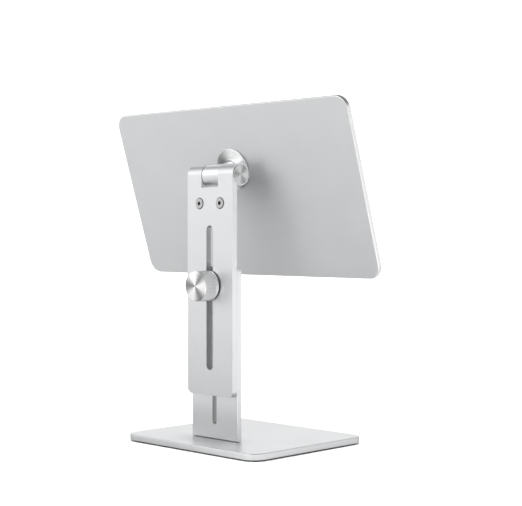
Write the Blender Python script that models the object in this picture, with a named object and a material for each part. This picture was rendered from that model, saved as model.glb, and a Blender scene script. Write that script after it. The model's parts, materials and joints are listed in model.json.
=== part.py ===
"""Magnetic tablet stand: weighted base, two slotted post plates, a friction hinge and a swivelling panel.

World axes: +Z up, -Y towards the person at the screen, +Y to the rear, where the clamp knob is.
The origin lies on the table under the middle of the base. Sizes are in millimetres, and MM turns
them into metres where points and locations are made. The panel, its disc and the knuckle are built
in the hinge's own axes: the origin on the hinge axis, +Y out of the panel's back and +Z up along it.
"""
import math

import bmesh
import bpy
from mathutils import Vector

MM = 0.001
GAP = 0.3                       # clearance kept between pieces that bear on each other

# Base
PAD_T = 0.8
PAD_INSET = 2.5
BASE_W, BASE_D, BASE_T = 150.0, 127.0, 5.0
BASE_R = 12.5
BASE_BOTTOM = PAD_T + GAP
BASE_TOP = BASE_BOTTOM + BASE_T
BASE_EDGE = 0.5
BASE_SCREW_X = (-17.0, 0.0, 17.0)
BASE_SCREW_R, BASE_SCREW_HEAD_R = 1.5, 2.8
BASE_SCREW_TIP = 15.5

# Post plates: the lower one stands on the base, the upper one slides on its rear face
POST_W = 51.5
PLATE_T = 4.8
PLATE_EDGE = 0.3
UPPER_REAR = 38.0
UPPER_FRONT = UPPER_REAR - PLATE_T
LOWER_REAR = UPPER_FRONT - GAP
LOWER_FRONT = LOWER_REAR - PLATE_T
LOWER_MID = (LOWER_REAR + LOWER_FRONT) / 2
LOWER_BOTTOM = BASE_TOP + GAP
LOWER_TOP = 143.0
UPPER_BOTTOM = 41.2
POST_CORNER_R = 4.5
LOWER_SLOT_W, LOWER_SLOT_Z = 4.7, (17.9, 118.0)
UPPER_SLOT_W, UPPER_SLOT_Z = 7.5, (61.2, 175.1)
GUIDE_Z = 51.2                  # shoulder screw of the upper plate, in the lower plate's slot
GUIDE_R, GUIDE_THREAD_R, GUIDE_HEAD_R, GUIDE_HEAD_T = 2.05, 1.7, 4.2, 1.9
GUIDE_HOLE_R = 2.0
GUIDE_WASHER_R, GUIDE_WASHER_T = 4.6, 0.6

# Height clamp
STUD_Z = 127.7                  # clamp axis, along Y
STUD_R = 2.5
STUD_Y = (25.0, 50.2)
INSERT_R, INSERT_HOLE_R = 3.5, 3.8
INSERT_FLANGE_R, INSERT_FLANGE_T = 5.5, 1.5
BUSH_R = 3.45
KNOB_R = 12.0
KNOB_END = 53.5
WASHER_R, WASHER_T = 11.2, 0.5
WASHER_Y = UPPER_REAR + GAP
KNOB_Y = WASHER_Y + WASHER_T + GAP
KNOB_EDGE = 0.7

# Hinge at the top of the upper plate
HINGE_R = 8.8
HINGE_Y = UPPER_REAR - HINGE_R
HINGE_Z = 214.7
HINGE_BORE_R = 6.9
NOTCH_HALF = 9.5
NOTCH_FLOOR = 204.9
KNUCKLE_R = HINGE_R - 0.2
KNUCKLE_HALF = NOTCH_HALF - GAP
SHAFT_R, SHAFT_FLAT, SHAFT_HALF = 4.0, 3.1, 22.9
SLEEVE_X = (9.8, 18.5)          # friction sleeve, then spring washer and nut, outwards from the middle
SPRING_X, SPRING_R = (18.8, 20.0), 6.4
NUT_X, NUT_ACROSS = 20.3, 11.0
CAP_T = 2.5                     # depth of an end cap's plug
CAP_FLANGE_R, CAP_FLANGE_T = 7.7, 0.5
HINGE_SCREW_X, HINGE_SCREW_Z = 11.7, 192.4
HINGE_SCREW_R, HINGE_SCREW_HOLE_R, HINGE_SCREW_HEAD_R = 2.0, 2.3, 4.1
HINGE_SCREW_TOP = UPPER_REAR + 0.6
KEY_TAB_X = (12.0, 17.5)
KEY_TAB_TOP = 209.6
KEY_PLATE_Y = (29.9, UPPER_FRONT - GAP)
KEY_PLATE_Z = (184.0, 200.0)
KEY_SLOT_BOTTOM = HINGE_Z - 12

# Swivel and panel, in the hinge's own axes
TILT = math.radians(17.1)       # the panel's top leans this far to the rear at rest
NECK_R = 7.0
NECK_END = -15.9
DISC_R = 17.0
HUB_R = 8.8                     # raised middle of the disc, round the neck's foot
BOLT_R, BOLT_HEAD_R, BOLT_END = 2.7, 8.0, -6.0
BOLT_HOLE_R = BOLT_R + GAP
BOLT_SEAT_R, BOLT_SEAT_T = 9.0, 1.0
SWIVEL_WASHER_R, SWIVEL_WASHER_T = 6.8, 0.5
BOLT_SPRING_R, BOLT_SPRING_T = 8.4, 0.4
DISC_SCREW_R, DISC_SCREW_RING, DISC_SCREW_HEAD_R = 1.25, 12.5, 2.4
DISC_THREAD_R = DISC_SCREW_R + 0.25
PANEL_W, PANEL_H, PANEL_R = 260.7, 140.7, 11.0
PANEL_MID_Z = -19.3             # the panel's middle is this far below the swivel axis
PANEL_REAR, PANEL_FRONT = -18.5, -22.5
DISC_THREAD_END = PANEL_REAR + 1.3
PANEL_EDGE = 0.6
RECESS_FLOOR = -21.7            # where the front sheet lies
RECESS_INSET = 1.8
SHEET_Y = (-22.7, RECESS_FLOOR - 0.2)
POCKET_FLOOR = -19.8
POCKET_X, POCKET_HALF_H, POCKET_R = (30.0, 124.5), 64.0, 7.0
TRAY_Y = (-21.6, POCKET_FLOOR - GAP)
LONG_MAGNET, SHORT_MAGNET = (60.0, 10.0), (10.0, 36.0)
MAGNET_REACH = (35.0, 48.0)     # from a tray's middle to its upright and its level magnets

FINE, MEDIUM, COARSE = 48, 24, 16   # sides of large, middling and small round pieces

# Principled colour, roughness and metallic value of each material
FINISHES = {
    "satin_aluminium": ((0.80, 0.81, 0.82, 1), 0.42, 1.0),
    "turned_aluminium": ((0.86, 0.86, 0.87, 1), 0.25, 1.0),
    "steel": ((0.55, 0.56, 0.58, 1), 0.3, 1.0),
    "silicone": ((0.10, 0.10, 0.11, 1), 0.75, 0.0),
    "soft_sheet": ((0.70, 0.71, 0.72, 1), 0.7, 0.0),
    "nylon": ((0.04, 0.04, 0.045, 1), 0.55, 0.0),
    "magnet": ((0.62, 0.62, 0.62, 1), 0.35, 1.0),
}


def clear_scene():
    for old in list(bpy.data.objects):
        bpy.data.objects.remove(old, do_unlink=True)


# ---------------------------------------------------------------- outlines and solids

def circle(radius, sides, centre=(0.0, 0.0)):
    turn = 2 * math.pi / sides
    return [(centre[0] + radius * math.cos(turn * (i + 0.5)),
             centre[1] + radius * math.sin(turn * (i + 0.5))) for i in range(sides)]


def arc(centre, radius, start, end, steps):
    """Points on an arc, both ends included, angles in degrees."""
    angles = [math.radians(start + (end - start) * i / steps) for i in range(steps + 1)]
    return [(centre[0] + radius * math.cos(a), centre[1] + radius * math.sin(a)) for a in angles]


def rounded_rect(low, high, radii, steps=6):
    """A rectangle whose corners take the radii (low-low, high-low, high-high, low-high), 0 for square."""
    corners = [((low[0], low[1]), (1, 1)), ((high[0], low[1]), (-1, 1)),
               ((high[0], high[1]), (-1, -1)), ((low[0], high[1]), (1, -1))]
    points = []
    for turn, ((corner, inward), radius) in enumerate(zip(corners, radii)):
        if radius == 0:
            points.append(corner)
            continue
        centre = (corner[0] + inward[0] * radius, corner[1] + inward[1] * radius)
        points += arc(centre, radius, 180 + 90 * turn, 270 + 90 * turn, steps)
    return points


def slot(width, low, high, steps=8):
    """An upright slot with round ends."""
    half = width / 2
    return arc((0, low + half), half, 180, 360, steps) + arc((0, high - half), half, 0, 180, steps)


def place(axis, u, v, w):
    """World point of outline coordinates (u, v) at depth w along the axis."""
    point = {"X": (w, u, v), "Y": (u, w, v), "Z": (u, v, w)}[axis]
    return Vector(point) * MM


def new_object(name, mesh_builder):
    mesh = bpy.data.meshes.new(name)
    built = bmesh.new()
    mesh_builder(built)
    bmesh.ops.recalc_face_normals(built, faces=built.faces)
    built.to_mesh(mesh)
    built.free()
    made = bpy.data.objects.new(name, mesh)
    bpy.context.scene.collection.objects.link(made)
    return made


def prism(name, axis, outline, low, high):
    """A closed outline pulled from low to high along the axis."""
    def build(built):
        bottom = [built.verts.new(place(axis, u, v, low)) for u, v in outline]
        face = built.faces.new(bottom)
        pulled = bmesh.ops.extrude_face_region(built, geom=[face])["geom"]
        moved = [item for item in pulled if isinstance(item, bmesh.types.BMVert)]
        bmesh.ops.translate(built, verts=moved, vec=place(axis, 0, 0, high - low))
    return new_object(name, build)


def turned(name, axis, profile, sides, centre=(0.0, 0.0)):
    """A profile of (radius, depth) points turned about the axis through centre.

    A profile that starts and ends at radius 0 is solid, and any other closes on itself as a ring.
    """
    solid = profile[0][0] == 0 and profile[-1][0] == 0

    def build(built):
        rings = []
        for radius, depth in profile:
            if radius == 0:
                rings.append([built.verts.new(place(axis, *centre, depth))])
            else:
                rings.append([built.verts.new(place(axis, u, v, depth))
                              for u, v in circle(radius, sides, centre)])
        pairs = list(zip(rings, rings[1:]))
        if not solid:
            pairs.append((rings[-1], rings[0]))
        for near, far in pairs:
            for i in range(sides):
                k = (i + 1) % sides
                loop = [near[i % len(near)], near[k % len(near)], far[k % len(far)], far[i % len(far)]]
                unique = list(dict.fromkeys(loop))
                if len(unique) > 2:
                    built.faces.new(unique)
    return new_object(name, build)


def rod(name, axis, radius, low, high, sides=MEDIUM, centre=(0.0, 0.0)):
    return turned(name, axis, [(0, low), (radius, low), (radius, high), (0, high)], sides, centre)


def sleeve(name, axis, inner, outer, low, high, sides=MEDIUM, centre=(0.0, 0.0)):
    return turned(name, axis, [(inner, low), (outer, low), (outer, high), (inner, high)], sides, centre)


def countersunk(name, axis, head, shank, depths, sides=COARSE, centre=(0.0, 0.0)):
    """A countersunk shape: straight rim, cone and shank at the four depths given."""
    outer, rim, neck, tip = depths
    profile = [(0, outer), (head, outer), (head, rim), (shank, neck), (shank, tip), (0, tip)]
    return turned(name, axis, profile, sides, centre)


# ---------------------------------------------------------------- operations on solids

def boolean(target, tool, operation):
    step = target.modifiers.new(operation.lower() + "_" + tool.name, "BOOLEAN")
    step.operation = operation
    step.solver = "EXACT"
    step.object = tool
    tool.hide_render = True
    tool.display_type = "WIRE"
    tool.parent = target.parent


def cut(target, *tools):
    for tool in tools:
        boolean(target, tool, "DIFFERENCE")


def chamfer(target, width):
    step = target.modifiers.new("chamfer", "BEVEL")
    step.width = width * MM
    step.segments = 1
    step.limit_method = "ANGLE"
    step.angle_limit = math.radians(40)


def hex_socket(target, axis, across, low, high, centre=(0.0, 0.0)):
    tool = prism(target.name + "_socket", axis, circle(across / math.sqrt(3), 6, centre), low, high)
    cut(target, tool)


MATERIALS = {}


def finish(piece, material, smooth=False, parent=None):
    """Gives a piece its material, its shading and the empty that it moves with."""
    if material not in MATERIALS:
        colour, roughness, metallic = FINISHES[material]
        made = bpy.data.materials.new(material)
        made.use_nodes = True
        shader = made.node_tree.nodes["Principled BSDF"]
        shader.inputs["Base Color"].default_value = colour
        shader.inputs["Roughness"].default_value = roughness
        shader.inputs["Metallic"].default_value = metallic
        MATERIALS[material] = made
    piece.data.materials.append(MATERIALS[material])
    if smooth:
        piece.data.shade_smooth()
        piece.data.set_sharp_from_angle(angle=math.radians(35))
    if parent is not None:
        piece.parent = parent
    return piece


def axis_empty(name, location, tilt=0.0, parent=None):
    empty = bpy.data.objects.new(name, None)
    empty.empty_display_size = 0.02
    empty.location = Vector(location) * MM
    empty.rotation_euler = (-tilt, 0, 0)
    empty.parent = parent
    bpy.context.scene.collection.objects.link(empty)
    return empty


# ---------------------------------------------------------------- base and lower plate

def build_base():
    half_w, half_d = BASE_W / 2, BASE_D / 2
    outline = rounded_rect((-half_w, -half_d), (half_w, half_d), (BASE_R,) * 4, 8)
    plate = prism("base_plate", "Z", outline, BASE_BOTTOM, BASE_TOP)
    chamfer(plate, BASE_EDGE)

    pad_w, pad_d = half_w - PAD_INSET, half_d - PAD_INSET
    outline = rounded_rect((-pad_w, -pad_d), (pad_w, pad_d), (BASE_R - PAD_INSET,) * 4, 8)
    finish(prism("base_pad", "Z", outline, 0, PAD_T), "silicone")

    for number, x in enumerate(BASE_SCREW_X, 1):
        centre = (x, LOWER_MID)
        depths = (BASE_BOTTOM + 0.2, BASE_BOTTOM + 0.5, BASE_BOTTOM + 1.8, BASE_SCREW_TIP)
        name = "base_screw_%d" % number
        screw = countersunk(name, "Z", BASE_SCREW_HEAD_R, BASE_SCREW_R, depths, centre=centre)
        hex_socket(screw, "Z", 2.0, BASE_BOTTOM, BASE_BOTTOM + 1.3, centre)
        finish(screw, "steel", smooth=True)
        depths = (BASE_BOTTOM - 1, BASE_BOTTOM + 0.6, BASE_BOTTOM + 1.9, BASE_TOP + 1)
        hole = countersunk("base_hole_%d" % number, "Z", BASE_SCREW_HEAD_R + GAP, BASE_SCREW_R + 0.2,
                           depths, centre=centre)
        cut(plate, hole)
    finish(plate, "satin_aluminium")


def build_lower_post():
    half = POST_W / 2
    radii = (0, 0, POST_CORNER_R, POST_CORNER_R)
    outline = rounded_rect((-half, LOWER_BOTTOM), (half, LOWER_TOP), radii)
    post = prism("lower_post", "Y", outline, LOWER_FRONT, LOWER_REAR)
    chamfer(post, PLATE_EDGE)
    cut(post, prism("lower_slot", "Y", slot(LOWER_SLOT_W, *LOWER_SLOT_Z), LOWER_FRONT - 1, LOWER_REAR + 1))
    cut(post, rod("insert_hole", "Y", INSERT_HOLE_R, LOWER_FRONT - 1, LOWER_REAR + 1, centre=(0, STUD_Z)))
    for number, x in enumerate(BASE_SCREW_X, 1):
        cut(post, rod("foot_hole_%d" % number, "Z", BASE_SCREW_R + 0.2, LOWER_BOTTOM - 1,
                      BASE_SCREW_TIP + 0.5, COARSE, (x, LOWER_MID)))
    finish(post, "satin_aluminium")


# ---------------------------------------------------------------- height clamp

def build_clamp():
    centre = (0, STUD_Z)
    flange_y = LOWER_FRONT - GAP
    bore_r = STUD_R + GAP
    inner_y, end_y = flange_y - INSERT_FLANGE_T, LOWER_REAR - 0.3
    profile = [(bore_r, inner_y), (INSERT_FLANGE_R - 0.3, inner_y), (INSERT_FLANGE_R, inner_y + 0.3),
               (INSERT_FLANGE_R, flange_y), (INSERT_R, flange_y), (INSERT_R, end_y), (bore_r, end_y)]
    finish(turned("thread_insert", "Y", profile, MEDIUM, centre), "steel", smooth=True)
    bush = sleeve("guide_bush", "Y", bore_r, BUSH_R, UPPER_FRONT, UPPER_REAR - GAP, centre=centre)
    finish(bush, "nylon", smooth=True)

    clamp_axis = axis_empty("clamp_axis", (0, WASHER_Y, STUD_Z))

    def on_axis(y):
        return y - WASHER_Y

    washer = sleeve("knob_washer", "Y", bore_r, WASHER_R, 0, WASHER_T, FINE)
    finish(washer, "nylon", smooth=True, parent=clamp_axis)
    screw = turned("clamp_screw", "Y", [(0, on_axis(STUD_Y[0])), (STUD_R - 0.5, on_axis(STUD_Y[0])),
                                        (STUD_R, on_axis(STUD_Y[0]) + 0.5), (STUD_R, on_axis(STUD_Y[1])),
                                        (0, on_axis(STUD_Y[1]))], MEDIUM)
    finish(screw, "steel", smooth=True, parent=clamp_axis)
    base, end = on_axis(KNOB_Y), on_axis(KNOB_END)
    bore_end = on_axis(STUD_Y[1]) + GAP
    profile = [(0, bore_end), (bore_r, bore_end), (bore_r, base), (KNOB_R - KNOB_EDGE, base),
               (KNOB_R, base + KNOB_EDGE), (KNOB_R, end - KNOB_EDGE), (KNOB_R - KNOB_EDGE, end), (0, end)]
    finish(turned("clamp_knob", "Y", profile, FINE), "turned_aluminium", smooth=True, parent=clamp_axis)


# ---------------------------------------------------------------- upper plate and its hinge

def build_upper_post():
    half = POST_W / 2
    meet = math.degrees(math.acos((UPPER_FRONT - HINGE_Y) / HINGE_R))
    side = [(UPPER_FRONT, UPPER_BOTTOM - 2), (UPPER_REAR, UPPER_BOTTOM - 2)]
    side += arc((HINGE_Y, HINGE_Z), HINGE_R, 0, 360 - meet, 32)
    post = prism("upper_post", "X", side, -half - 2, half + 2)

    radii = (POST_CORNER_R, POST_CORNER_R, 0, 0)
    outline = rounded_rect((-half, UPPER_BOTTOM), (half, HINGE_Z + 20), radii)
    boolean(post, prism("upper_outline", "Y", outline, 0, UPPER_REAR + 10), "INTERSECT")

    through = (HINGE_Y - 20, UPPER_REAR + 5)
    notch = [(-NOTCH_HALF, NOTCH_FLOOR), (NOTCH_HALF, NOTCH_FLOOR),
             (NOTCH_HALF, HINGE_Z + 20), (-NOTCH_HALF, HINGE_Z + 20)]
    cut(post, prism("notch", "Y", notch, *through),
        prism("upper_slot", "Y", slot(UPPER_SLOT_W, *UPPER_SLOT_Z), *through),
        rod("hinge_bore", "X", HINGE_BORE_R, -half - 5, half + 5, FINE, (HINGE_Y, HINGE_Z)),
        rod("guide_hole", "Y", GUIDE_HOLE_R, UPPER_FRONT - 1, UPPER_REAR - 1.5, COARSE, (0, GUIDE_Z)))
    for side_name, sign in (("left", 1), ("right", -1)):
        centre = (sign * HINGE_SCREW_X, HINGE_SCREW_Z)
        seat_r, floor = HINGE_SCREW_HEAD_R + GAP, HINGE_SCREW_TOP - 1.2
        seat = [(0, UPPER_REAR + 1), (seat_r, UPPER_REAR + 1), (seat_r, floor),
                (HINGE_SCREW_HOLE_R, floor), (HINGE_SCREW_HOLE_R, UPPER_FRONT - 1), (0, UPPER_FRONT - 1)]
        cut(post, turned("screw_seat_" + side_name, "Y", seat, MEDIUM, centre))
        inner, outer = KEY_TAB_X[0] - GAP, KEY_TAB_X[1] + GAP
        low_x, high_x = sorted((sign * inner, sign * outer))
        opening = [(low_x, KEY_SLOT_BOTTOM), (high_x, KEY_SLOT_BOTTOM),
                   (high_x, KEY_TAB_TOP + 0.6), (low_x, KEY_TAB_TOP + 0.6)]
        cut(post, prism("tab_slot_" + side_name, "Y", opening, KEY_PLATE_Y[0] - GAP, UPPER_FRONT + GAP))
    finish(post, "satin_aluminium", smooth=True)


def build_guide_screw():
    centre = (0, GUIDE_Z)
    washer_y = LOWER_FRONT - GAP
    washer = sleeve("guide_washer", "Y", GUIDE_R + 0.35, GUIDE_WASHER_R, washer_y - GUIDE_WASHER_T, washer_y,
                    centre=centre)
    finish(washer, "nylon", smooth=True)
    seat = washer_y - GUIDE_WASHER_T - GAP
    top, tip = seat - GUIDE_HEAD_T, UPPER_REAR - 1.8
    profile = [(0, top), (GUIDE_HEAD_R - 0.3, top), (GUIDE_HEAD_R, top + 0.3), (GUIDE_HEAD_R, seat),
               (GUIDE_R, seat), (GUIDE_R, UPPER_FRONT - GAP), (GUIDE_THREAD_R, UPPER_FRONT),
               (GUIDE_THREAD_R, tip), (0, tip)]
    screw = turned("guide_screw", "Y", profile, MEDIUM, centre)
    hex_socket(screw, "Y", 3.0, seat - 3, seat - 0.7, centre)
    finish(screw, "steel", smooth=True)


def build_hinge_key():
    low_y, high_y = KEY_PLATE_Y
    low_z, high_z = KEY_PLATE_Z
    inner, outer = KEY_TAB_X
    half = outer + 1.5
    outline = [(-half, low_z), (half, low_z), (half, high_z), (outer, high_z), (outer, KEY_TAB_TOP),
               (inner, KEY_TAB_TOP), (inner, high_z), (-inner, high_z), (-inner, KEY_TAB_TOP),
               (-outer, KEY_TAB_TOP), (-outer, high_z), (-half, high_z)]
    plate = prism("hinge_key_plate", "Y", outline, low_y, high_y)
    for side_name, sign in (("left", 1), ("right", -1)):
        centre = (sign * HINGE_SCREW_X, HINGE_SCREW_Z)
        hole = rod("key_hole_" + side_name, "Y", HINGE_SCREW_HOLE_R, low_y - 1, high_y + 1, COARSE, centre)
        cut(plate, hole)
        top, under, tip = HINGE_SCREW_TOP, HINGE_SCREW_TOP - 0.9, low_y + 0.2
        profile = [(0, top), (HINGE_SCREW_HEAD_R - 0.3, top), (HINGE_SCREW_HEAD_R, top - 0.3),
                   (HINGE_SCREW_HEAD_R, under), (HINGE_SCREW_R, under), (HINGE_SCREW_R, tip), (0, tip)]
        screw = turned("hinge_screw_" + side_name, "Y", profile, MEDIUM, centre)
        hex_socket(screw, "Y", 3.0, top - 2.0, top + 1, centre)
        finish(screw, "steel", smooth=True)
    finish(plate, "steel")


def build_hinge_side(side_name, sign, tilt_axis):
    """The friction sleeve, spring washer, nut and cap of one end, outwards along X."""
    centre = (HINGE_Y, HINGE_Z)
    shaft_clear = SHAFT_R + GAP

    def span(low, high):
        return sorted((sign * low, sign * high))

    plug_r = HINGE_BORE_R - GAP
    torque = sleeve("friction_sleeve_" + side_name, "X", shaft_clear, plug_r, *span(*SLEEVE_X), centre=centre)
    inner, outer = KEY_TAB_X[0] - GAP, KEY_TAB_X[1] + GAP
    low_y, high_y = KEY_PLATE_Y
    keyway = [(low_y - GAP, KEY_SLOT_BOTTOM), (high_y + GAP, KEY_SLOT_BOTTOM),
              (high_y + GAP, KEY_TAB_TOP + GAP), (low_y - GAP, KEY_TAB_TOP + GAP)]
    cut(torque, prism("keyway_" + side_name, "X", keyway, *span(inner, outer)))
    finish(torque, "steel", smooth=True)

    spring = sleeve("spring_washer_" + side_name, "X", shaft_clear, SPRING_R, *span(*SPRING_X))
    finish(spring, "steel", smooth=True, parent=tilt_axis)
    corners = circle(NUT_ACROSS / math.sqrt(3), 6)
    nut = prism("shaft_nut_" + side_name, "X", corners, *span(NUT_X, SHAFT_HALF))
    finish(nut, "steel", parent=tilt_axis)
    cut(nut, rod("nut_hole_" + side_name, "X", shaft_clear, *span(NUT_X - 1, SHAFT_HALF + 1)))

    half = POST_W / 2
    plug = sign * (half - CAP_T)
    under, face = sign * (half + GAP), sign * (half + GAP + CAP_FLANGE_T)
    profile = [(0, plug), (plug_r, plug), (plug_r, under), (CAP_FLANGE_R, under),
               (CAP_FLANGE_R, face - sign * 0.2), (CAP_FLANGE_R - 0.2, face), (0, face)]
    finish(turned("end_cap_" + side_name, "X", profile, FINE, centre), "turned_aluminium", smooth=True)


def d_outline(radius, flat, steps=22):
    """A circle with its top cut off flat."""
    start = math.degrees(math.asin(flat / radius))
    return arc((0, 0), radius, start, -180 - start, steps)


def build_knuckle(tilt_axis):
    shaft = prism("hinge_shaft", "X", d_outline(SHAFT_R, SHAFT_FLAT), -SHAFT_HALF, SHAFT_HALF)
    finish(shaft, "steel", smooth=True, parent=tilt_axis)

    knuckle = rod("tilt_knuckle", "X", KNUCKLE_R, -KNUCKLE_HALF, KNUCKLE_HALF, FINE)
    finish(knuckle, "satin_aluminium", smooth=True, parent=tilt_axis)
    boolean(knuckle, rod("neck", "Y", NECK_R, BOLT_END, NECK_END, FINE), "UNION")
    cut(knuckle, prism("shaft_hole", "X", d_outline(SHAFT_R + GAP, SHAFT_FLAT + GAP), -12, 12))
    cut(knuckle, rod("bolt_thread", "Y", BOLT_HOLE_R, NECK_END - 2, BOLT_END + 0.4, COARSE))


# ---------------------------------------------------------------- swivel

def disc_screw_centres():
    angles = [math.radians(90 + 120 * i) for i in range(3)]
    return [(DISC_SCREW_RING * math.cos(a), DISC_SCREW_RING * math.sin(a)) for a in angles]


def build_swivel(tilt_axis, swivel_axis):
    bed = NECK_END - GAP
    washer = sleeve("swivel_washer", "Y", BOLT_HOLE_R, SWIVEL_WASHER_R, bed, bed - SWIVEL_WASHER_T)
    finish(washer, "nylon", smooth=True, parent=tilt_axis)
    spring_y = PANEL_REAR - BOLT_SEAT_T - GAP
    head_y = spring_y - BOLT_SPRING_T - GAP
    spring = sleeve("bolt_spring_washer", "Y", BOLT_HOLE_R, BOLT_SPRING_R, spring_y, spring_y - BOLT_SPRING_T)
    finish(spring, "steel", smooth=True, parent=tilt_axis)
    profile = [(0, head_y - 1.0), (BOLT_HEAD_R, head_y - 1.0), (BOLT_HEAD_R, head_y), (BOLT_R, head_y),
               (BOLT_R, BOLT_END), (0, BOLT_END)]
    bolt = turned("swivel_bolt", "Y", profile, MEDIUM)
    finish(bolt, "steel", smooth=True, parent=tilt_axis)
    hex_socket(bolt, "Y", 4.0, head_y - 3, head_y + 1.5)

    front = PANEL_REAR + GAP
    recess_r, recess = SWIVEL_WASHER_R + GAP, bed - SWIVEL_WASHER_T - GAP
    profile = [(BOLT_HOLE_R, front), (DISC_R - 0.3, front), (DISC_R, front + 0.3), (DISC_R, front + 0.9),
               (DISC_R - 0.4, front + 1.3), (HUB_R, bed - 0.2), (HUB_R - 0.2, bed), (recess_r, bed),
               (recess_r, recess), (BOLT_HOLE_R, recess)]
    disc = turned("swivel_disc", "Y", profile, FINE)
    finish(disc, "turned_aluminium", smooth=True, parent=swivel_axis)
    for number, centre in enumerate(disc_screw_centres(), 1):
        name = "disc_thread_%d" % number
        cut(disc, rod(name, "Y", DISC_THREAD_R, front - 1, DISC_THREAD_END, COARSE, centre))
        depths = (RECESS_FLOOR + 0.2, RECESS_FLOOR + 0.4, RECESS_FLOOR + 1.5, DISC_THREAD_END - 0.2)
        name = "disc_screw_%d" % number
        screw = countersunk(name, "Y", DISC_SCREW_HEAD_R, DISC_SCREW_R, depths, centre=centre)
        finish(screw, "steel", smooth=True, parent=swivel_axis)
        hex_socket(screw, "Y", 1.6, RECESS_FLOOR - 1, RECESS_FLOOR + 1.2, centre)


# ---------------------------------------------------------------- panel

def panel_rect(inset, radius):
    half_w, half_h = PANEL_W / 2 - inset, PANEL_H / 2 - inset
    return rounded_rect((-half_w, PANEL_MID_Z - half_h), (half_w, PANEL_MID_Z + half_h), (radius,) * 4, 8)


def side_rect(sign, inset):
    """The magnet pocket of one side, drawn in by the inset."""
    low_x, high_x = sorted((sign * (POCKET_X[0] + inset), sign * (POCKET_X[1] - inset)))
    half = POCKET_HALF_H - inset
    return rounded_rect((low_x, PANEL_MID_Z - half), (high_x, PANEL_MID_Z + half), (POCKET_R - inset,) * 4, 4)


def magnet_places(sign):
    """Name, centre and size of the magnets in one side's tray."""
    mid_x = sign * (POCKET_X[0] + POCKET_X[1]) / 2
    across, along = MAGNET_REACH
    return [("upper", (mid_x, PANEL_MID_Z + along), LONG_MAGNET),
            ("lower", (mid_x, PANEL_MID_Z - along), LONG_MAGNET),
            ("inner", (mid_x - sign * across, PANEL_MID_Z), SHORT_MAGNET),
            ("outer", (mid_x + sign * across, PANEL_MID_Z), SHORT_MAGNET)]


def bar(name, centre, size, grow, low, high):
    half_u, half_v = size[0] / 2 + grow, size[1] / 2 + grow
    outline = [(centre[0] - half_u, centre[1] - half_v), (centre[0] + half_u, centre[1] - half_v),
               (centre[0] + half_u, centre[1] + half_v), (centre[0] - half_u, centre[1] + half_v)]
    return prism(name, "Y", outline, low, high)


def build_panel(swivel_axis):
    shell = prism("panel_shell", "Y", panel_rect(0, PANEL_R), PANEL_FRONT, PANEL_REAR)
    finish(shell, "satin_aluminium", parent=swivel_axis)
    chamfer(shell, PANEL_EDGE)
    recess = panel_rect(RECESS_INSET, PANEL_R - RECESS_INSET)
    cut(shell, prism("sheet_recess", "Y", recess, PANEL_FRONT - 2, RECESS_FLOOR))
    seat = [(0, RECESS_FLOOR - 1), (BOLT_SEAT_R, RECESS_FLOOR - 1), (BOLT_SEAT_R, PANEL_REAR - BOLT_SEAT_T),
            (BOLT_HOLE_R, PANEL_REAR - BOLT_SEAT_T), (BOLT_HOLE_R, PANEL_REAR + 1), (0, PANEL_REAR + 1)]
    cut(shell, turned("bolt_seat", "Y", seat, MEDIUM))
    for number, centre in enumerate(disc_screw_centres(), 1):
        depths = (RECESS_FLOOR - 1, RECESS_FLOOR + 0.5, RECESS_FLOOR + 1.6, PANEL_REAR + 1)
        hole = countersunk("disc_hole_%d" % number, "Y", DISC_SCREW_HEAD_R + GAP, DISC_THREAD_R, depths,
                           centre=centre)
        cut(shell, hole)

    sheet = panel_rect(RECESS_INSET + GAP, PANEL_R - RECESS_INSET - GAP)
    finish(prism("front_sheet", "Y", sheet, *SHEET_Y), "soft_sheet", parent=swivel_axis)

    for side_name, sign in (("left", 1), ("right", -1)):
        pocket = prism("pocket_" + side_name, "Y", side_rect(sign, 0), RECESS_FLOOR - 0.5, POCKET_FLOOR)
        cut(shell, pocket)
        tray = prism("magnet_tray_" + side_name, "Y", side_rect(sign, GAP), *TRAY_Y)
        finish(tray, "nylon", parent=swivel_axis)
        for place_name, centre, size in magnet_places(sign):
            name = "magnet_%s_%s" % (side_name, place_name)
            finish(bar(name, centre, size, 0, *TRAY_Y), "magnet", parent=swivel_axis)
            cut(tray, bar("window_" + name, centre, size, GAP, TRAY_Y[0] - 1, TRAY_Y[1] + 1))


def main():
    clear_scene()
    build_base()
    build_lower_post()
    build_clamp()
    build_upper_post()
    build_guide_screw()
    build_hinge_key()
    tilt_axis = axis_empty("tilt_axis", (0, HINGE_Y, HINGE_Z), TILT)
    swivel_axis = axis_empty("swivel_axis", (0, 0, 0), parent=tilt_axis)
    for side_name, sign in (("left", 1), ("right", -1)):
        build_hinge_side(side_name, sign, tilt_axis)
    build_knuckle(tilt_axis)
    build_swivel(tilt_axis, swivel_axis)
    build_panel(swivel_axis)


main()
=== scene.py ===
import math

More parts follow.
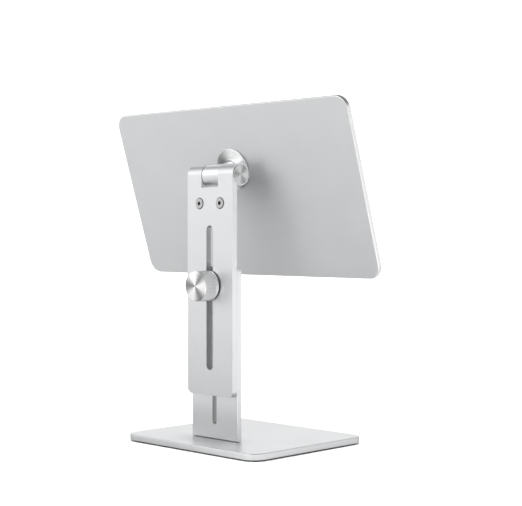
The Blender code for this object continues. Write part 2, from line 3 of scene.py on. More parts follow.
import bmesh
import bpy
from mathutils import Matrix, Vector
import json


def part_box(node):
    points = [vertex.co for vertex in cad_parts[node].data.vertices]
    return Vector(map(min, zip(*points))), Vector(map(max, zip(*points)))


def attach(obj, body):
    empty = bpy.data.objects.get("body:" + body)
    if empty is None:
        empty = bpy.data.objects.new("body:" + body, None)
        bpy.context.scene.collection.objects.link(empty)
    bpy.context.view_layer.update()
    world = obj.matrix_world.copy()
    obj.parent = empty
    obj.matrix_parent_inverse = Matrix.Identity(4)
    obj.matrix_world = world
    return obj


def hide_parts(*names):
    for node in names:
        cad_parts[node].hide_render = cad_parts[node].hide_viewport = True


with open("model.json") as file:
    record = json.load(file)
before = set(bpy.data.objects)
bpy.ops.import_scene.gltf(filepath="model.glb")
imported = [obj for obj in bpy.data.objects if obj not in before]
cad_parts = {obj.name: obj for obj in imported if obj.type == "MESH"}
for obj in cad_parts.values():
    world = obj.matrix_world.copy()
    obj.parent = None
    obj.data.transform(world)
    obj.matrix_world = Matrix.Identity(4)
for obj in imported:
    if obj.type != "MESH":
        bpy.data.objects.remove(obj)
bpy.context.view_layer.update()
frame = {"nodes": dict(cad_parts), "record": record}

MM = 0.001                      # the stand's sizes are in millimetres, the frame and the studio in metres
RECORD = frame["record"]
JOINTS = {joint["name"]: joint for joint in RECORD["behaviour"]["joints"]}
BODY_OF = {node: body for body, nodes in RECORD["behaviour"]["bodies"].items() for node in nodes}
SLOT_OF = {part["node"]: part["material_slot"] for part in RECORD["subparts"]}


# ---------------------------------------------------------------- places read from the frame

def box_mm(node):
    """The low and high corners of a node's box in the row frame, in millimetres."""
    low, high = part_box(node)
    return Vector(low) / MM, Vector(high) / MM


BASE_LOW, BASE_HIGH = box_mm("base_plate")
PAD_LOW, PAD_HIGH = box_mm("base_pad")
LOWER_LOW, LOWER_HIGH = box_mm("lower_post")
UPPER_LOW, UPPER_HIGH = box_mm("upper_post")
KNOB_LOW, KNOB_HIGH = box_mm("clamp_knob")
WASHER_LOW, WASHER_HIGH = box_mm("knob_washer")
STUD_LOW, STUD_HIGH = box_mm("clamp_screw")
GUIDE_LOW, GUIDE_HIGH = box_mm("guide_screw")

HINGE = Vector(JOINTS["tilt"]["pos_m"]) / MM
SWIVEL = Vector(JOINTS["swivel"]["axis"]).normalized()
ACROSS = Vector((1, 0, 0))
# The head's own axes: origin on the hinge, X along it, Y out of the panel's back, Z up the panel
HEAD = Matrix.Translation(HINGE) @ Matrix((ACROSS, SWIVEL, ACROSS.cross(SWIVEL))).transposed().to_4x4()
WORLD = Matrix.Identity(4)
# The clamp screw's and the guide screw's axes run front to back at these heights
STUD = Vector((0, 0, (KNOB_LOW.z + KNOB_HIGH.z) / 2))
GUIDE = Vector((0, 0, (GUIDE_LOW.z + GUIDE_HIGH.z) / 2))

# ---------------------------------------------------------------- sizes that boxes don't give

# Base and lower post
BASE_CORNER = 12.5
POST_CORNER, FOOT_CORNER = 4.5, 0.5
LOWER_SLOT_W, LOWER_SLOT_Z = 4.7, (17.9, 118.0)
INSERT_HOLE_R = 3.8
# Upper post and its hinge barrel
HINGE_R = 8.8
PLATE_T = LOWER_HIGH.y - LOWER_LOW.y
UPPER_REAR = HINGE.y + HINGE_R
UPPER_FRONT = UPPER_REAR - PLATE_T
UPPER_SLOT_W, UPPER_SLOT_Z = 7.5, (61.2, 175.1)
BORE_R = 6.9
NOTCH_HALF, NOTCH_FLOOR = 9.5, 204.9
HINGE_SCREWS = [("left", 11.7), ("right", -11.7)]
HINGE_SCREW_Z = 192.4
HINGE_SCREW_R, HINGE_SCREW_HOLE_R = 4.1, 2.3
SEAT_GAP, SEAT_DEPTH = 0.5, 0.6
HEX_ACROSS = 3.0
# Clamp
KNOB_R = (KNOB_HIGH.x - KNOB_LOW.x) / 2
KNURLS, KNURL_DEPTH = 66, 0.3
THREAD_R, THREAD_PITCH, THREAD_DEPTH = 2.5, 0.8, 0.35
# Head, in its own axes
KNUCKLE_R, KNUCKLE_HALF = HINGE_R - 0.2, 9.2
SHAFT_HOLE_R = 4.3
BOLT_HOLE_R = 3.0
NECK_R, NECK_END = 7.0, -15.9
DISC_R, DISC_SCREW_RING, DISC_THREAD_R = 17.0, 12.5, 1.5
PANEL_W, PANEL_H, PANEL_R = 260.7, 140.7, 11.0
PANEL_MID_Z = -19.3
PANEL_REAR, PANEL_FRONT = -18.5, -22.5
SHEET_FLOOR, SHEET_INSET = -21.7, 1.8
SHEET_GAP = 0.3
SHEET_Y = (-22.7, -21.9)
POCKET_X, POCKET_HALF, POCKET_R, POCKET_FLOOR = (30.0, 124.5), 64.0, 7.0, -19.8
# How far edges are rounded
BASE_EDGE, PAD_EDGE = 0.6, 0.2
PLATE_EDGE, HOLE_EDGE, BORE_EDGE = 0.6, 0.2, 0.15
PANEL_EDGE, SHEET_EDGE = 0.8, 0.3
SHARP_ANGLE = 40                # degrees
FACING = 0.7                    # a face looks along an axis when this much of its unit normal does


# ---------------------------------------------------------------- outlines

def arc(centre, radius, start, end, steps):
    angles = [math.radians(start + (end - start) * i / steps) for i in range(steps + 1)]
    return [(centre[0] + radius * math.cos(a), centre[1] + radius * math.sin(a)) for a in angles]


def circle(radius, sides, centre=(0.0, 0.0)):
    return arc(centre, radius, 0, 360 - 360 / sides, sides - 1)


def rounded_rect(low, high, radii, steps=14):
    """A rectangle with its corners rounded, as (low-low, high-low, high-high, low-high) radii."""
    corners = [((low[0], low[1]), (1, 1)), ((high[0], low[1]), (-1, 1)),
               ((high[0], high[1]), (-1, -1)), ((low[0], high[1]), (1, -1))]
    points = []
    for turn, ((corner, inward), radius) in enumerate(zip(corners, radii)):
        centre = (corner[0] + inward[0] * radius, corner[1] + inward[1] * radius)
        points += arc(centre, radius, 180 + 90 * turn, 270 + 90 * turn, steps)
    return points


def rect_loop(low, high, radii):
    """The outline as a function of how far it is drawn in."""
    def loop(inset):
        return rounded_rect((low[0] + inset, low[1] + inset), (high[0] - inset, high[1] - inset),
                            [radius - inset for radius in radii])
    return loop


def slot_loop(width, low, high, steps=16):
    """An upright slot as a function of how far its edge is drawn out of the material."""
    def loop(inset):
        half = width / 2 + inset
        low_mid, high_mid = low + width / 2, high - width / 2
        return arc((0, low_mid), half, 180, 360, steps) + arc((0, high_mid), half, 0, 180, steps)
    return loop


def hole_loop(radius, centre, sides=40):
    """A round hole as a function of how far its edge is drawn out of the material."""
    def loop(inset):
        return circle(radius + inset, sides, centre)
    return loop


def eased(points, edge, steps=4, closed=False):
    """A profile with its corners rounded: edge is how far from the corner the rounding starts."""
    count = len(points)
    result = []
    for i, point in enumerate(points):
        if not closed and i in (0, count - 1):
            result.append(point)
            continue
        here = Vector(point)
        before, after = Vector(points[i - 1]), Vector(points[(i + 1) % count])
        to_before, to_after = before - here, after - here
        reach = min(edge, to_before.length * 0.45, to_after.length * 0.45)
        start = here + to_before.normalized() * reach
        end = here + to_after.normalized() * reach
        for k in range(steps + 1):
            t = k / steps
            result.append(tuple(start * (1 - t) ** 2 + here * 2 * t * (1 - t) + end * t ** 2))
    return result


# ---------------------------------------------------------------- meshes

def at(axis, u, v, w):
    """The point w along an axis and u, v along the other two, in X, Y, Z order."""
    return Vector({"X": (w, u, v), "Y": (u, w, v), "Z": (u, v, w)}[axis])


def mesh_object(name, built, matrix=WORLD):
    """Turns a bmesh in millimetres into an object whose vertices are in the row frame."""
    bmesh.ops.recalc_face_normals(built, faces=built.faces)
    mesh = bpy.data.meshes.new(name)
    built.to_mesh(mesh)
    built.free()
    mesh.transform(Matrix.Scale(MM, 4) @ matrix)
    made = bpy.data.objects.new(name, mesh)
    bpy.context.scene.collection.objects.link(made)
    return made


def plate(name, axis, loops, low, high, edges, matrix=WORLD, steps=3):
    """A plate with holes. loops holds its outline and then the holes, and edges how far each is rounded."""
    built = bmesh.new()
    turns = [math.radians(90 * k / steps) for k in range(steps, -1, -1)]
    caps = ([], [])
    for loop, edge in zip(loops, edges):
        rounding = [(edge * (1 - math.sin(t)), edge * (1 - math.cos(t))) for t in turns]
        levels = [(low + depth, inset) for depth, inset in rounding]
        levels += [(high - depth, inset) for depth, inset in reversed(rounding)]
        rings = []
        for depth, inset in levels:
            rings.append([built.verts.new(at(axis, u, v, depth)) for u, v in loop(inset)])
        count = len(rings[0])
        for near, far in zip(rings, rings[1:]):
            for i in range(count):
                k = (i + 1) % count
                built.faces.new((near[i], near[k], far[k], far[i]))
        for cap, ring in zip(caps, (rings[0], rings[-1])):
            cap += [built.edges.get((ring[i], ring[(i + 1) % count])) for i in range(count)]
    for cap in caps:
        bmesh.ops.triangle_fill(built, use_beauty=True, use_dissolve=False, edges=cap)
    return mesh_object(name, built, matrix)


def turned(name, axis, profile, sides, centre=(0.0, 0.0), matrix=WORLD, ripple=None):
    """Turns a profile of (radius, depth) about an axis. ripple(angle, radius, depth) alters a radius."""
    solid = profile[0][0] == 0 and profile[-1][0] == 0
    built = bmesh.new()
    rings = []
    for radius, depth in profile:
        if radius == 0:
            rings.append([built.verts.new(at(axis, centre[0], centre[1], depth))])
            continue
        ring = []
        for i in range(sides):
            angle = 2 * math.pi * i / sides
            reach = ripple(angle, radius, depth) if ripple else radius
            ring.append(built.verts.new(at(axis, centre[0] + reach * math.cos(angle),
                                           centre[1] + reach * math.sin(angle), depth)))
        rings.append(ring)
    pairs = list(zip(rings, rings[1:]))
    if not solid:
        pairs.append((rings[-1], rings[0]))
    for near, far in pairs:
        for i in range(sides):
            k = (i + 1) % sides
            loop = [near[i % len(near)], near[k % len(near)], far[k % len(far)], far[i % len(far)]]
            unique = list(dict.fromkeys(loop))
            if len(unique) > 2:
                built.faces.new(unique)
    return mesh_object(name, built, matrix)


def prism(name, axis, outline, low, high, matrix=WORLD):
    """An outline pulled along an axis from low to high."""
    built = bmesh.new()
    face = built.faces.new([built.verts.new(at(axis, u, v, low)) for u, v in outline])
    pulled = bmesh.ops.extrude_face_region(built, geom=[face])["geom"]
    moved = [item for item in pulled if isinstance(item, bmesh.types.BMVert)]
    bmesh.ops.translate(built, verts=moved, vec=at(axis, 0, 0, high - low))
    return mesh_object(name, built, matrix)


def combine(target, tool, operation):
    """Cuts or joins with a tool, and removes the tool."""
    step = target.modifiers.new("cut", "BOOLEAN")
    step.operation = operation
    step.solver = "EXACT"
    step.object = tool
    apply_modifiers(target)
    bpy.data.objects.remove(tool, do_unlink=True)


def apply_modifiers(target):
    graph = bpy.context.evaluated_depsgraph_get()
    old = target.data
    target.data = bpy.data.meshes.new_from_object(target.evaluated_get(graph), depsgraph=graph)
    target.modifiers.clear()
    bpy.data.meshes.remove(old)


def cut(target, *tools):
    for tool in tools:
        combine(target, tool, "DIFFERENCE")


def round_edges(target, amount, angle=35, segments=3):
    """Rounds the sharp edges that cuts left, each by amount(middle of the edge) millimetres."""
    mesh = target.data
    built = bmesh.new()
    built.from_mesh(mesh)
    weight = built.edges.layers.float.new("bevel_weight_edge")
    widest = 0.0
    for edge in built.edges:
        if len(edge.link_faces) == 2 and edge.calc_face_angle() > math.radians(angle):
            middle = (edge.verts[0].co + edge.verts[1].co) / 2 / MM
            edge[weight] = amount(middle)
            widest = max(widest, edge[weight])
    for edge in built.edges:
        edge[weight] /= widest
    built.to_mesh(mesh)
    built.free()
    step = target.modifiers.new("edges", "BEVEL")
    step.width = widest * MM
    step.segments = segments
    step.limit_method = "WEIGHT"
    step.miter_outer = "MITER_ARC"
    apply_modifiers(target)


def hex_hole(target, axis, across, low, high, centre=(0.0, 0.0), matrix=WORLD):
    outline = circle(across / math.sqrt(3), 6, centre)
    cut(target, prism(target.name + "_hex", axis, outline, low, high, matrix))


# ---------------------------------------------------------------- material nodes

NOISE_RANGE = (0.3, 0.7)        # where most values of a noise lie


class Nodes:
    """A material under construction, with short calls for the nodes it uses."""

    def __init__(self, name, kind=bpy.data.materials, shader="Principled BSDF"):
        self.material = kind.new(name)
        self.material.use_nodes = True
        self.tree = self.material.node_tree
        self.shader = self.tree.nodes[shader]
        self.place = self.add("ShaderNodeTexCoord").outputs["Object"]

    def add(self, kind, **settings):
        node = self.tree.nodes.new(kind)
        for key, value in settings.items():
            setattr(node, key, value)
        return node

    def feed(self, socket, value):
        if isinstance(value, bpy.types.NodeSocket):
            self.tree.links.new(value, socket)
        else:
            socket.default_value = value

    def math(self, operation, a, b=0.0, c=0.0):
        node = self.add("ShaderNodeMath", operation=operation)
        for socket, value in zip(node.inputs, (a, b, c)):
            self.feed(socket, value)
        return node.outputs[0]

    def vector(self, operation, a, b=(0, 0, 0)):
        node = self.add("ShaderNodeVectorMath", operation=operation)
        self.feed(node.inputs[0], a)
        self.feed(node.inputs[1], b)
        return node.outputs["Value" if operation in ("DOT_PRODUCT", "LENGTH") else "Vector"]

    def scaled(self, vector, factor):
        node = self.add("ShaderNodeVectorMath", operation="SCALE")
        self.feed(node.inputs[0], tuple(vector))
        self.feed(node.inputs["Scale"], factor)
        return node.outputs["Vector"]

    def stretched(self, amounts):
        """The object's coordinates, each multiplied, so that noise is longer where the amount is small."""
        return self.vector("MULTIPLY", self.place, amounts)

    def noise(self, size_mm, detail=2.0, vector=None):
        """Noise whose blobs are about size_mm across."""
        node = self.add("ShaderNodeTexNoise")
        self.feed(node.inputs["Vector"], vector or self.place)
        node.inputs["Scale"].default_value = 1.0 / (size_mm * MM)
        node.inputs["Detail"].default_value = detail
        return node.outputs["Fac"]

    def line_noise(self, value, size_mm, detail=2.0):
        """Noise along one number, which is in metres."""
        node = self.add("ShaderNodeTexNoise", noise_dimensions="1D")
        self.feed(node.inputs["W"], value)
        node.inputs["Scale"].default_value = 1.0 / (size_mm * MM)
        node.inputs["Detail"].default_value = detail
        return node.outputs["Fac"]

    def spread(self, value, low, high):
        """Maps noise's middle range to low .. high."""
        node = self.add("ShaderNodeMapRange")
        self.feed(node.inputs["Value"], value)
        node.inputs["From Min"].default_value, node.inputs["From Max"].default_value = NOISE_RANGE
        node.inputs["To Min"].default_value = low
        node.inputs["To Max"].default_value = high
        return node.outputs["Result"]

    def ramp(self, value, stops, interpolation="EASE"):
        node = self.add("ShaderNodeValToRGB")
        node.color_ramp.interpolation = interpolation
        while len(node.color_ramp.elements) < len(stops):
            node.color_ramp.elements.new(0.5)
        for element, (place, colour) in zip(node.color_ramp.elements, stops):
            element.position = place
            element.color = colour
        self.feed(node.inputs["Fac"], value)
        return node.outputs["Color"]

    def mix(self, factor, a, b, blend="MIX"):
        node = self.add("ShaderNodeMix", data_type="RGBA", blend_type=blend)
        self.feed(node.inputs["Factor"], factor)
        self.feed(node.inputs[6], a)
        self.feed(node.inputs[7], b)
        return node.outputs[2]

    def bump(self, height, strength, distance_mm):
        node = self.add("ShaderNodeBump")
        node.inputs["Strength"].default_value = strength
        node.inputs["Distance"].default_value = distance_mm * MM
        self.feed(node.inputs["Height"], height)
        return node.outputs["Normal"]

    def polar(self, centre, u_axis, v_axis):
        """Distance from an axis and angle round it, from the axis's centre and two directions across it."""
        offset = self.vector("SUBTRACT", self.place, tuple(centre))
        u = self.vector("DOT_PRODUCT", offset, tuple(u_axis))
        v = self.vector("DOT_PRODUCT", offset, tuple(v_axis))
        squares = self.math("ADD", self.math("MULTIPLY", u, u), self.math("MULTIPLY", v, v))
        reach = self.math("SQRT", squares)
        turn = self.math("ARCTAN2", v, u)
        return u, v, reach, turn

    def set(self, **values):
        for key, value in values.items():
            self.feed(self.shader.inputs[key.replace("_", " ").title()], value)


def grey(value, warm=0.0):
    """A grey colour, warmer than neutral by the share warm, or cooler where that is below zero."""
    return (value * (1 + warm), value, value * (1 - warm), 1.0)


def satin_aluminium(name, tone, roughness, painted_shade_spot=None):
    """Bead-blasted, clear anodised aluminium: a fine even grain with faint broad mottling.

    The last argument is a spot of painted shade that darkens the colour: the share of the tone left in its
    middle, the middle, and its reach each way."""
    n = Nodes(name)
    grain = n.noise(0.16, 2.0)
    mottle = n.noise(24.0, 3.0)
    colour = n.mix(n.spread(mottle, 0.0, 1.0), grey(tone * 0.985, -0.012), grey(tone * 1.01, -0.008))
    # Painted shade: the colour is darkened towards the spot's middle.
    if painted_shade_spot:
        share, middle, reach = painted_shade_spot
        offset = n.vector("SUBTRACT", n.place, tuple(middle * MM))
        off_middle = n.vector("LENGTH", n.vector("DIVIDE", offset, tuple(reach * MM)))
        colour = n.mix(1.0, colour, n.ramp(off_middle, [(0.0, grey(share)), (1.0, grey(1.0))]), "MULTIPLY")
    n.set(Base_Color=colour, Metallic=1.0)
    n.set(Roughness=n.math("ADD", n.spread(mottle, roughness - 0.015, roughness + 0.015),
                           n.spread(grain, -0.03, 0.03)))
    n.set(Normal=n.bump(grain, 0.10, 0.02))
    return n.material


def edge_aluminium():
    """The same metal on rounded edges, smoother, with its colour lighter as a painted highlight and a faint
    mottle.
    """
    n = Nodes("edge_aluminium")
    wear = n.noise(3.0, 4.0)
    # Painted highlight: the edges' colour is lighter than the faces'.
    n.set(Base_Color=n.mix(n.spread(wear, 0.0, 1.0), grey(0.84), grey(0.90)), Metallic=1.0)
    n.set(Roughness=n.spread(wear, 0.26, 0.34))
    n.set(Normal=n.bump(n.noise(0.2, 2.0), 0.05, 0.02))
    return n.material


def turned_metal(name, centre, u_axis, v_axis, tone, shade, fans=3, skew=0.0, line_share=1.0):
    """Metal faced on a lathe: fine rings round the axis, with fans of light and dark painted into its
    colour as painted highlight and painted shade.

    shade is the tone between the fans, as a share of the tone in them. fans is how many there are,
    skew is how far, in radians of a fan's turn, they lean away from the v axis, and line_share is how
    strongly the rings show."""
    line_mm, band_mm, wander_mm = 0.12, 1.1, 2.5
    lift = 0.6                  # over half, so that each fan has a flat bright middle
    roughness, swing = 0.26, 0.04 * line_share
    n = Nodes(name)
    u, v, reach, turn = n.polar(Vector(centre) * MM, u_axis, v_axis)
    lines = n.line_noise(reach, line_mm)
    bands = n.line_noise(reach, band_mm)
    colour = n.mix(n.spread(lines, 0.0, 1.0), grey(tone * (1 - 0.03 * line_share)), grey(tone))
    wander = n.spread(n.line_noise(reach, wander_mm), 0.17, 0.29)
    wander = n.math("MULTIPLY_ADD", n.math("SINE", turn), skew, wander)
    # Painted highlight and painted shade: bright and dark fans by angle round the axis, multiplied into the
    # colour.
    painted_fan_light = n.math("COSINE", n.math("MULTIPLY_ADD", turn, fans, wander))
    painted_fan_light = n.math("MINIMUM", n.math("MULTIPLY_ADD", painted_fan_light, lift, lift), 1.0)
    colour = n.mix(1.0, colour, n.mix(painted_fan_light, grey(shade), grey(1.0)), "MULTIPLY")
    n.set(Base_Color=colour, Metallic=1.0)
    n.set(Roughness=n.math("ADD", n.spread(lines, roughness - swing, roughness + swing),
                           n.spread(bands, -0.02, 0.02)))
    n.shader.inputs["Anisotropic"].default_value = 0.4
    outwards = n.vector("NORMALIZE", n.vector("ADD", n.scaled(u_axis, u), n.scaled(v_axis, v)))
    in_world = n.add("ShaderNodeVectorTransform", vector_type="VECTOR", convert_from="OBJECT",
                     convert_to="WORLD")
    n.feed(in_world.inputs["Vector"], outwards)
    n.feed(n.shader.inputs["Tangent"], in_world.outputs["Vector"])
    n.set(Normal=n.bump(lines, 0.12 * line_share, 0.01))
    return n.material


def knurled_metal():
    """The knob's side: clean bright metal with fine marks along the axis, and painted shade darkening the
    knurl's grooves.
    """
    n = Nodes("knurled_aluminium")
    marks = n.noise(0.25, 3.0, n.stretched((1.0, 0.12, 1.0)))
    reach = n.polar(STUD * MM, (1, 0, 0), (0, 0, 1))[2]
    groove_shade = n.math("DIVIDE", n.math("SUBTRACT", KNOB_R * MM, reach), KNURL_DEPTH * MM)
    colour = n.mix(n.spread(marks, 0.0, 1.0), grey(0.93, -0.004), grey(1.0, -0.004))
    # Painted shade: the colour darkens towards the bottom of each knurl groove.
    colour = n.mix(n.math("MINIMUM", n.math("MAXIMUM", groove_shade, 0.0), 1.0), colour, grey(0.60))
    n.set(Base_Color=colour, Metallic=1.0)
    n.set(Roughness=n.spread(marks, 0.30, 0.42))
    n.set(Normal=n.bump(marks, 0.15, 0.02))
    return n.material


def plated_steel(name, tone, roughness):
    """Plated steel: a smooth skin with faint cloudy patches."""
    n = Nodes(name)
    cloud = n.noise(1.6, 3.0)
    colour = n.mix(n.spread(cloud, 0.0, 1.0), grey(tone * 0.92, 0.01), grey(tone * 1.05))
    n.set(Base_Color=colour, Metallic=1.0)
    n.set(Roughness=n.spread(cloud, roughness - 0.05, roughness + 0.07))
    n.set(Normal=n.bump(n.noise(0.25, 3.0), 0.08, 0.02))
    return n.material


def silicone(name, tone, roughness, grain_mm=0.35):
    """Matt silicone with a fine moulded texture."""
    n = Nodes(name)
    grain = n.noise(grain_mm, 2.0)
    cloud = n.noise(14.0, 3.0)
    n.set(Base_Color=n.mix(n.spread(cloud, 0.0, 1.0), grey(tone * 0.97), grey(tone * 1.03)))
    n.set(Roughness=n.math("ADD", n.spread(cloud, roughness - 0.02, roughness + 0.02),
                           n.spread(grain, -0.04, 0.04)))
    n.shader.inputs["Specular IOR Level"].default_value = 0.35
    n.set(Normal=n.bump(grain, 0.25, 0.04))
    return n.material


def nylon():
    """Dark nylon with a moulded grain."""
    n = Nodes("grey_nylon")
    grain = n.noise(0.3, 2.0)
    cloud = n.noise(5.0, 2.0)
    n.set(Base_Color=n.mix(n.spread(cloud, 0.0, 1.0), grey(0.07), grey(0.10)))
    n.set(Roughness=n.spread(grain, 0.45, 0.6))
    n.set(Normal=n.bump(grain, 0.15, 0.02))
    return n.material


# Painted shade: the metal's colour is darkened where the post meets the base, standing in for the shade
# there. A reach of FAR_OFF leaves that direction out.
FAR_OFF = 10000
PAINTED_SHADE_SHARE = 0.66
FOOT_PAINTED_SHADE = (PAINTED_SHADE_SHARE, Vector((0, 0, BASE_HIGH.z)), Vector((FAR_OFF, FAR_OFF, 50)))
BASE_PAINTED_SHADE = (PAINTED_SHADE_SHARE, Vector((0, LOWER_HIGH.y + 4, BASE_HIGH.z)), Vector((48, 30, FAR_OFF)))
SATIN = satin_aluminium("blasted_aluminium", 0.757, 0.40)
PANEL_METAL = satin_aluminium("blasted_panel", 0.76, 0.47)
# Painted shade: the base's top is darkened where the post stands on it.
BASE_METAL = satin_aluminium("blasted_base_painted_shade", 0.74, 0.40, BASE_PAINTED_SHADE)
KNUCKLE_METAL = satin_aluminium("fine_blasted_aluminium", 0.875, 0.33)
# Painted shade: the slot walls get a darker copy of the metal, for the shade inside the slots.
SLOT_WALL_SHADE = satin_aluminium("slot_wall_painted_shade", 0.50, 0.50)
# Painted light: the posts' long sides get a lighter copy of the metal, for the light they catch.
POST_SIDE_LIGHT = satin_aluminium("side_painted_light", 0.96, 0.40)
# Painted light: the posts' fronts get a lighter copy of the metal.
POST_FRONT_LIGHT = satin_aluminium("front_painted_light", 0.95, 0.40)
# Painted light and painted shade: the lower post gets a lighter copy of the metal, darkened towards the
# base.
LOWER_METAL = satin_aluminium("blasted_foot_painted_shade", 0.98, 0.40, FOOT_PAINTED_SHADE)
# Painted light: the base's rim gets a lighter copy of the metal.
BASE_RIM_LIGHT = satin_aluminium("rim_painted_light", 0.95, 0.38)
SOCKET = satin_aluminium("socket_shade", 0.12, 0.5)
EDGE = edge_aluminium()
KNURL = knurled_metal()
STEEL = plated_steel("plated_steel", 0.62, 0.24)
SCREW = plated_steel("screw_head", 0.52, 0.34)
MAGNET = plated_steel("magnet_plating", 0.72, 0.18)
PAD = silicone("pad_silicone", 0.13, 0.62)
SHEET = silicone("sheet_silicone", 0.33, 0.62, 0.5)
NYLON = nylon()


def dress(piece, node, material, *others):
    """Gives a finished piece its shading and materials, its body, and the node it stands for.

    Each of the others is a material and a test of a face's middle, in millimetres, and its normal."""
    mesh = piece.data
    mesh.shade_smooth()
    mesh.set_sharp_from_angle(angle=math.radians(SHARP_ANGLE))
    step = piece.modifiers.new("flat_faces", "WEIGHTED_NORMAL")
    step.mode = "FACE_AREA"
    step.keep_sharp = True
    mesh.materials.clear()
    mesh.materials.append(material)
    for other, _ in others:
        mesh.materials.append(other)
    for face in mesh.polygons:
        fits = [number for number, (_, test) in enumerate(others, 1) if test(face.center / MM, face.normal)]
        face.material_index = fits[0] if fits else 0
    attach(piece, BODY_OF[node])
    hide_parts(node)


# ---------------------------------------------------------------- base

def make_base():
    outline = rect_loop(BASE_LOW.xy, BASE_HIGH.xy, (BASE_CORNER,) * 4)
    piece = plate("base", "Z", [outline], BASE_LOW.z, BASE_HIGH.z, [BASE_EDGE])
    dress(piece, "base_plate", BASE_METAL, (BASE_RIM_LIGHT, lambda middle, normal: abs(normal.z) < FACING))
    corner = BASE_CORNER - (PAD_LOW.x - BASE_LOW.x)
    outline = rect_loop(PAD_LOW.xy, PAD_HIGH.xy, (corner,) * 4)
    piece = plate("foot_pad", "Z", [outline], PAD_LOW.z, PAD_HIGH.z, [PAD_EDGE])
    dress(piece, "base_pad", PAD)


def make_lower_plate():
    outline = rect_loop((LOWER_LOW.x, LOWER_LOW.z), (LOWER_HIGH.x, LOWER_HIGH.z),
                        (FOOT_CORNER, FOOT_CORNER, POST_CORNER, POST_CORNER))
    loops = [outline, slot_loop(LOWER_SLOT_W, *LOWER_SLOT_Z), hole_loop(INSERT_HOLE_R, (0, STUD.z))]
    piece = plate("lower_plate", "Y", loops, LOWER_LOW.y, LOWER_HIGH.y, [PLATE_EDGE, HOLE_EDGE, HOLE_EDGE])
    dress(piece, "lower_post", LOWER_METAL, (SLOT_WALL_SHADE, in_slot(LOWER_SLOT_W, LOWER_SLOT_Z)),
          (POST_SIDE_LIGHT, on_side), (POST_FRONT_LIGHT, on_front))


def on_front(middle, normal):
    """Tests for a face on a post's front, which the photo doesn't show."""
    return normal.y < -FACING


def on_side(middle, normal):
    """Tests for a face on a post's long narrow sides."""
    return abs(normal.x) > FACING and abs(middle.x) > LOWER_HIGH.x - 1


def in_slot(width, reach):
    """Tests for a face on the wall of an upright slot."""
    def test(middle, normal):
        return (abs(middle.x) < width / 2 + 0.1 and reach[0] - 0.1 < middle.z < reach[1] + 0.1
                and abs(normal.y) < 0.5)
    return test


# ---------------------------------------------------------------- upper plate

def make_upper_plate():
    past = 2                    # how far the side profile is drawn past the outline, which cuts it back
    meet = math.degrees(math.acos((UPPER_FRONT - HINGE.y) / HINGE_R))
    side = [(UPPER_FRONT, UPPER_LOW.z - past), (UPPER_REAR, UPPER_LOW.z - past)]
    side += arc((HINGE.y, HINGE.z), HINGE_R, 0, 360 - meet, 90)
    piece = prism("upper_plate", "X", side, UPPER_LOW.x - past, UPPER_HIGH.x + past)
    top = HINGE.z + 20          # above the barrel
    outline = rounded_rect((UPPER_LOW.x, UPPER_LOW.z), (UPPER_HIGH.x, top),
                           (POST_CORNER, POST_CORNER, 1, 1))
    combine(piece, prism("outline", "Y", outline, 0, UPPER_REAR + 10), "INTERSECT")
    through = (HINGE.y - 20, UPPER_REAR + 5)
    notch = [(-NOTCH_HALF, NOTCH_FLOOR), (NOTCH_HALF, NOTCH_FLOOR), (NOTCH_HALF, top), (-NOTCH_HALF, top)]
    cut(piece, prism("notch", "Y", notch, *through),
        prism("slot", "Y", slot_loop(UPPER_SLOT_W, *UPPER_SLOT_Z)(0), *through),
        prism("bore", "X", circle(BORE_R, 96, (HINGE.y, HINGE.z)), UPPER_LOW.x - 5, UPPER_HIGH.x + 5))
    seat_r, floor = HINGE_SCREW_R + SEAT_GAP, UPPER_REAR - SEAT_DEPTH
    seat = [(0, UPPER_REAR + 1), (seat_r, UPPER_REAR + 1), (seat_r, floor), (HINGE_SCREW_HOLE_R, floor),
            (HINGE_SCREW_HOLE_R, UPPER_FRONT - 1), (0, UPPER_FRONT - 1)]
    for _, x in HINGE_SCREWS:
        cut(piece, turned("seat", "Y", seat, 48, (x, HINGE_SCREW_Z)))

    def rounding(middle):
        """How far each edge is rounded: the outline most, the bore's ends least."""
        if abs(middle.x) > UPPER_HIGH.x - 0.5:
            return BORE_EDGE if abs((middle - HINGE).yz.length - BORE_R) < 0.5 else PLATE_EDGE
        return HOLE_EDGE

    def in_seat(middle, normal):
        off_centre = min((middle.xz - Vector((x, HINGE_SCREW_Z))).length for _, x in HINGE_SCREWS)
        return off_centre < seat_r + 0.1 and middle.y < UPPER_REAR - 0.1

    round_edges(piece, rounding)
    dress(piece, "upper_post", SATIN, (SLOT_WALL_SHADE, in_slot(UPPER_SLOT_W, UPPER_SLOT_Z)),
          (POST_SIDE_LIGHT, on_side), (SOCKET, in_seat), (POST_FRONT_LIGHT, on_front))


def make_hinge_screws():
    shank_r = 2.0
    top, under = UPPER_REAR + 0.6, UPPER_REAR - 0.3
    inside, bottom = top - 0.4, top - 2.0
    for side_name, x in HINGE_SCREWS:
        low = box_mm("hinge_screw_" + side_name)[0].y
        profile = [(0, top), (HINGE_SCREW_R, top), (HINGE_SCREW_R, under), (shank_r, under), (shank_r, low),
                   (0, low)]
        centre = (x, HINGE_SCREW_Z)
        piece = turned("socket_screw_" + side_name, "Y", eased(profile, 0.3), 48, centre)
        hex_hole(piece, "Y", HEX_ACROSS, bottom, top + 1, centre)

        def in_socket(middle, normal):
            return (middle.xz - Vector(centre)).length < 1.8 and middle.y < inside

        dress(piece, "hinge_screw_" + side_name, SCREW, (SOCKET, in_socket))


